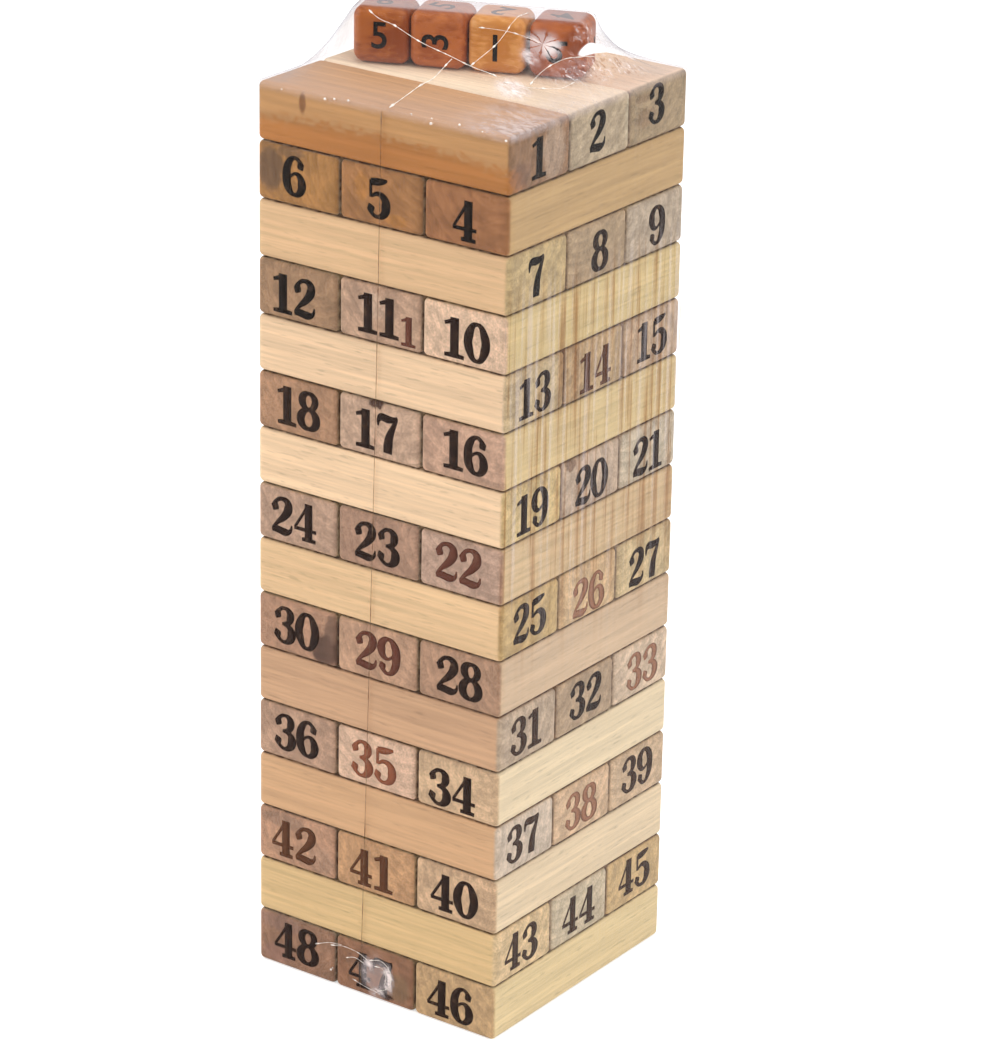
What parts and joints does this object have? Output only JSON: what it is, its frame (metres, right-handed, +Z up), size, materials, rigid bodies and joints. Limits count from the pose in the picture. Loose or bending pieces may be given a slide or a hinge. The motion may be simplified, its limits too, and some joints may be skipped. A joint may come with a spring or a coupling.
{
  "type": "tumbling tower",
  "caption": "Tower of loose numbered wooden blocks stacked in crossing courses, with a row of numbered wooden dice on top, in clear shrink film; each block slides out lengthways.",
  "frame": {"origin": "middle of the tower's square footprint, on the surface it stands on", "axes": "+Z up; -Y is the front, where the ends of the even courses show; the ends of the odd courses show on +X"},
  "size_m": [0.076, 0.076, 0.2515],
  "materials": {
    "block_wood": "bare sanded softwood with black printed numbers",
    "die_wood": "clear-varnished warm brown wood",
    "clear_film": "clear glossy shrink film"
  },
  "bodies": {
    "block_47": {"block_47": "block_wood"},
    "block_01": {"block_01": "block_wood"},
    "block_02": {"block_02": "block_wood"},
    "block_03": {"block_03": "block_wood"},
    "block_04": {"block_04": "block_wood"},
    "block_05": {"block_05": "block_wood"},
    "block_06": {"block_06": "block_wood"},
    "block_07": {"block_07": "block_wood"},
    "block_08": {"block_08": "block_wood"},
    "block_09": {"block_09": "block_wood"},
    "block_10": {"block_10": "block_wood"},
    "block_11": {"block_11": "block_wood"},
    "block_12": {"block_12": "block_wood"},
    "block_13": {"block_13": "block_wood"},
    "block_14": {"block_14": "block_wood"},
    "block_15": {"block_15": "block_wood"},
    "block_16": {"block_16": "block_wood"},
    "block_17": {"block_17": "block_wood"},
    "block_18": {"block_18": "block_wood"},
    "block_19": {"block_19": "block_wood"},
    "block_20": {"block_20": "block_wood"},
    "block_21": {"block_21": "block_wood"},
    "block_22": {"block_22": "block_wood"},
    "block_23": {"block_23": "block_wood"},
    "block_24": {"block_24": "block_wood"},
    "block_25": {"block_25": "block_wood"},
    "block_26": {"block_26": "block_wood"},
    "block_27": {"block_27": "block_wood"},
    "block_28": {"block_28": "block_wood"},
    "block_29": {"block_29": "block_wood"},
    "block_30": {"block_30": "block_wood"},
    "block_31": {"block_31": "block_wood"},
    "block_32": {"block_32": "block_wood"},
    "block_33": {"block_33": "block_wood"},
    "block_34": {"block_34": "block_wood"},
    "block_35": {"block_35": "block_wood"},
    "block_36": {"block_36": "block_wood"},
    "block_37": {"block_37": "block_wood"},
    "block_38": {"block_38": "block_wood"},
    "block_39": {"block_39": "block_wood"},
    "block_40": {"block_40": "block_wood"},
    "block_41": {"block_41": "block_wood"},
    "block_42": {"block_42": "block_wood"},
    "block_43": {"block_43": "block_wood"},
    "block_44": {"block_44": "block_wood"},
    "block_45": {"block_45": "block_wood"},
    "block_46": {"block_46": "block_wood"},
    "block_48": {"block_48": "block_wood"},
    "die_1": {"die_1": "die_wood"},
    "die_2": {"die_2": "die_wood"},
    "die_3": {"die_3": "die_wood"},
    "die_4": {"die_4": "die_wood"},
    "shrink_film": {"shrink_film": "clear_film"}
  },
  "joints": [
    {"name": "block_01_slide", "type": "slide", "parent": "block_47", "child": "block_01", "axis": [1, 0, 0], "range_m": [-0.08, 0.08]},
    {"name": "block_02_slide", "type": "slide", "parent": "block_47", "child": "block_02", "axis": [1, 0, 0], "range_m": [-0.08, 0.08]},
    {"name": "block_03_slide", "type": "slide", "parent": "block_47", "child": "block_03", "axis": [1, 0, 0], "range_m": [-0.08, 0.08]},
    {"name": "block_04_slide", "type": "slide", "parent": "block_47", "child": "block_04", "axis": [0, 1, 0], "range_m": [-0.08, 0.08]},
    {"name": "block_05_slide", "type": "slide", "parent": "block_47", "child": "block_05", "axis": [0, 1, 0], "range_m": [-0.08, 0.08]},
    {"name": "block_06_slide", "type": "slide", "parent": "block_47", "child": "block_06", "axis": [0, 1, 0], "range_m": [-0.08, 0.08]},
    {"name": "block_07_slide", "type": "slide", "parent": "block_47", "child": "block_07", "axis": [1, 0, 0], "range_m": [-0.08, 0.08]},
    {"name": "block_08_slide", "type": "slide", "parent": "block_47", "child": "block_08", "axis": [1, 0, 0], "range_m": [-0.08, 0.08]},
    {"name": "block_09_slide", "type": "slide", "parent": "block_47", "child": "block_09", "axis": [1, 0, 0], "range_m": [-0.08, 0.08]},
    {"name": "block_10_slide", "type": "slide", "parent": "block_47", "child": "block_10", "axis": [0, 1, 0], "range_m": [-0.08, 0.08]},
    {"name": "block_11_slide", "type": "slide", "parent": "block_47", "child": "block_11", "axis": [0, 1, 0], "range_m": [-0.08, 0.08]},
    {"name": "block_12_slide", "type": "slide", "parent": "block_47", "child": "block_12", "axis": [0, 1, 0], "range_m": [-0.08, 0.08]},
    {"name": "block_13_slide", "type": "slide", "parent": "block_47", "child": "block_13", "axis": [1, 0, 0], "range_m": [-0.08, 0.08]},
    {"name": "block_14_slide", "type": "slide", "parent": "block_47", "child": "block_14", "axis": [1, 0, 0], "range_m": [-0.08, 0.08]},
    {"name": "block_15_slide", "type": "slide", "parent": "block_47", "child": "block_15", "axis": [1, 0, 0], "range_m": [-0.08, 0.08]},
    {"name": "block_16_slide", "type": "slide", "parent": "block_47", "child": "block_16", "axis": [0, 1, 0], "range_m": [-0.08, 0.08]},
    {"name": "block_17_slide", "type": "slide", "parent": "block_47", "child": "block_17", "axis": [0, 1, 0], "range_m": [-0.08, 0.08]},
    {"name": "block_18_slide", "type": "slide", "parent": "block_47", "child": "block_18", "axis": [0, 1, 0], "range_m": [-0.08, 0.08]},
    {"name": "block_19_slide", "type": "slide", "parent": "block_47", "child": "block_19", "axis": [1, 0, 0], "range_m": [-0.08, 0.08]},
    {"name": "block_20_slide", "type": "slide", "parent": "block_47", "child": "block_20", "axis": [1, 0, 0], "range_m": [-0.08, 0.08]},
    {"name": "block_21_slide", "type": "slide", "parent": "block_47", "child": "block_21", "axis": [1, 0, 0], "range_m": [-0.08, 0.08]},
    {"name": "block_22_slide", "type": "slide", "parent": "block_47", "child": "block_22", "axis": [0, 1, 0], "range_m": [-0.08, 0.08]},
    {"name": "block_23_slide", "type": "slide", "parent": "block_47", "child": "block_23", "axis": [0, 1, 0], "range_m": [-0.08, 0.08]},
    {"name": "block_24_slide", "type": "slide", "parent": "block_47", "child": "block_24", "axis": [0, 1, 0], "range_m": [-0.08, 0.08]},
    {"name": "block_25_slide", "type": "slide", "parent": "block_47", "child": "block_25", "axis": [1, 0, 0], "range_m": [-0.08, 0.08]},
    {"name": "block_26_slide", "type": "slide", "parent": "block_47", "child": "block_26", "axis": [1, 0, 0], "range_m": [-0.08, 0.08]},
    {"name": "block_27_slide", "type": "slide", "parent": "block_47", "child": "block_27", "axis": [1, 0, 0], "range_m": [-0.08, 0.08]},
    {"name": "block_28_slide", "type": "slide", "parent": "block_47", "child": "block_28", "axis": [0, 1, 0], "range_m": [-0.08, 0.08]},
    {"name": "block_29_slide", "type": "slide", "parent": "block_47", "child": "block_29", "axis": [0, 1, 0], "range_m": [-0.08, 0.08]},
    {"name": "block_30_slide", "type": "slide", "parent": "block_47", "child": "block_30", "axis": [0, 1, 0], "range_m": [-0.08, 0.08]},
    {"name": "block_31_slide", "type": "slide", "parent": "block_47", "child": "block_31", "axis": [1, 0, 0], "range_m": [-0.08, 0.08]},
    {"name": "block_32_slide", "type": "slide", "parent": "block_47", "child": "block_32", "axis": [1, 0, 0], "range_m": [-0.08, 0.08]},
    {"name": "block_33_slide", "type": "slide", "parent": "block_47", "child": "block_33", "axis": [1, 0, 0], "range_m": [-0.08, 0.08]},
    {"name": "block_34_slide", "type": "slide", "parent": "block_47", "child": "block_34", "axis": [0, 1, 0], "range_m": [-0.08, 0.08]},
    {"name": "block_35_slide", "type": "slide", "parent": "block_47", "child": "block_35", "axis": [0, 1, 0], "range_m": [-0.08, 0.08]},
    {"name": "block_36_slide", "type": "slide", "parent": "block_47", "child": "block_36", "axis": [0, 1, 0], "range_m": [-0.08, 0.08]},
    {"name": "block_37_slide", "type": "slide", "parent": "block_47", "child": "block_37", "axis": [1, 0, 0], "range_m": [-0.08, 0.08]},
    {"name": "block_38_slide", "type": "slide", "parent": "block_47", "child": "block_38", "axis": [1, 0, 0], "range_m": [-0.08, 0.08]},
    {"name": "block_39_slide", "type": "slide", "parent": "block_47", "child": "block_39", "axis": [1, 0, 0], "range_m": [-0.08, 0.08]},
    {"name": "block_40_slide", "type": "slide", "parent": "block_47", "child": "block_40", "axis": [0, 1, 0], "range_m": [-0.08, 0.08]},
    {"name": "block_41_slide", "type": "slide", "parent": "block_47", "child": "block_41", "axis": [0, 1, 0], "range_m": [-0.08, 0.08]},
    {"name": "block_42_slide", "type": "slide", "parent": "block_47", "child": "block_42", "axis": [0, 1, 0], "range_m": [-0.08, 0.08]},
    {"name": "block_43_slide", "type": "slide", "parent": "block_47", "child": "block_43", "axis": [1, 0, 0], "range_m": [-0.08, 0.08]},
    {"name": "block_44_slide", "type": "slide", "parent": "block_47", "child": "block_44", "axis": [1, 0, 0], "range_m": [-0.08, 0.08]},
    {"name": "block_45_slide", "type": "slide", "parent": "block_47", "child": "block_45", "axis": [1, 0, 0], "range_m": [-0.08, 0.08]},
    {"name": "block_46_slide", "type": "slide", "parent": "block_47", "child": "block_46", "axis": [0, 1, 0], "range_m": [-0.08, 0.08]},
    {"name": "block_48_slide", "type": "slide", "parent": "block_47", "child": "block_48", "axis": [0, 1, 0], "range_m": [-0.08, 0.08]},
    {"name": "die_1_lift", "type": "slide", "parent": "block_47", "child": "die_1", "axis": [0, 0, 1], "range_m": [0, 0.06]},
    {"name": "die_2_lift", "type": "slide", "parent": "block_47", "child": "die_2", "axis": [0, 0, 1], "range_m": [0, 0.06]},
    {"name": "die_3_lift", "type": "slide", "parent": "block_47", "child": "die_3", "axis": [0, 0, 1], "range_m": [0, 0.06]},
    {"name": "die_4_lift", "type": "slide", "parent": "block_47", "child": "die_4", "axis": [0, 0, 1], "range_m": [0, 0.06]},
    {"name": "film_lift", "type": "slide", "parent": "block_47", "child": "shrink_film", "axis": [0, 0, 1], "range_m": [0, 0.27], "deforming": ["shrink_film"]}
  ]
}
